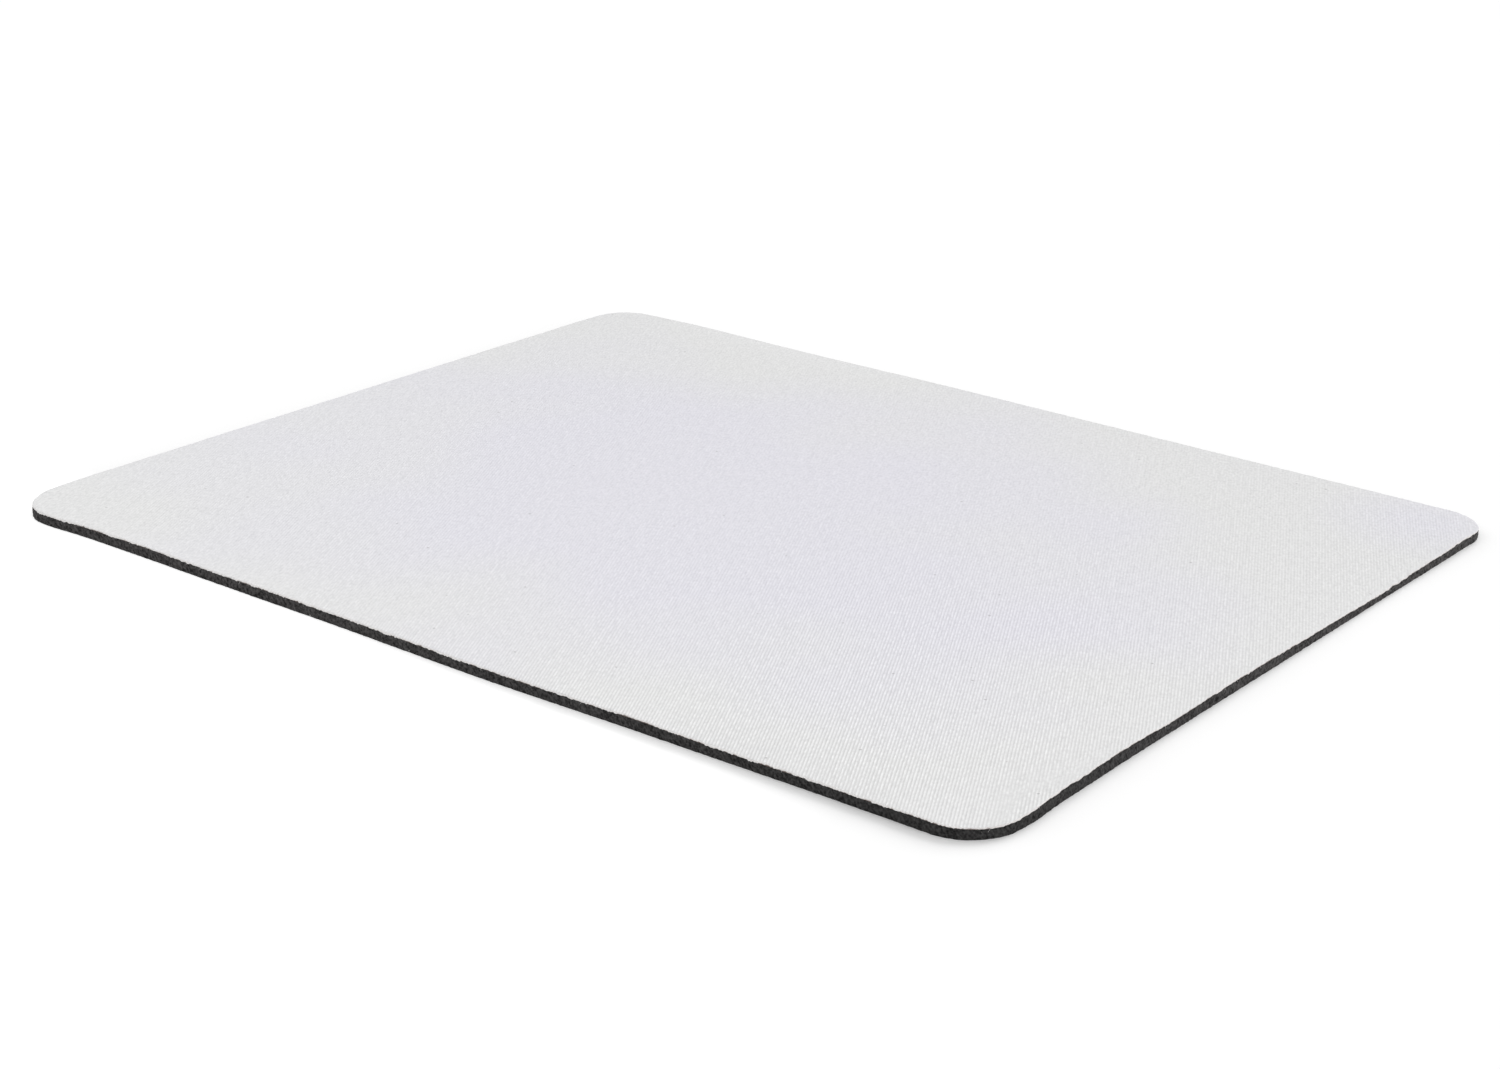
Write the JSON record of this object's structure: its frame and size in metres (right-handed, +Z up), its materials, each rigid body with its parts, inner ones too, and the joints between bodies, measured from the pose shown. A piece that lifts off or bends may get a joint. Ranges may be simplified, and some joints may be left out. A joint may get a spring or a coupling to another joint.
{
  "type": "mouse pad",
  "caption": "Flat rectangular mouse pad with rounded corners: white woven cloth face laminated to a black foamed-rubber base with a wave tread underneath.",
  "frame": {"origin": "centre of the underside, on the surface that the pad lies on", "axes": "+X along the long side, +Y along the short side, +Z up out of the cloth face"},
  "size_m": [0.3, 0.25, 0.003],
  "materials": {
    "foamed_rubber": "matte black closed-cell foam with a fine open-pored cut edge",
    "hot_melt_film": "grey-brown hot-melt film with an uneven satin sheen",
    "woven_polyester": "white twill weave with a soft sheen"
  },
  "bodies": {
    "root": {"foam_base": "foamed_rubber", "adhesive_film": "hot_melt_film", "cloth_face": "woven_polyester"}
  },
  "joints": []
}
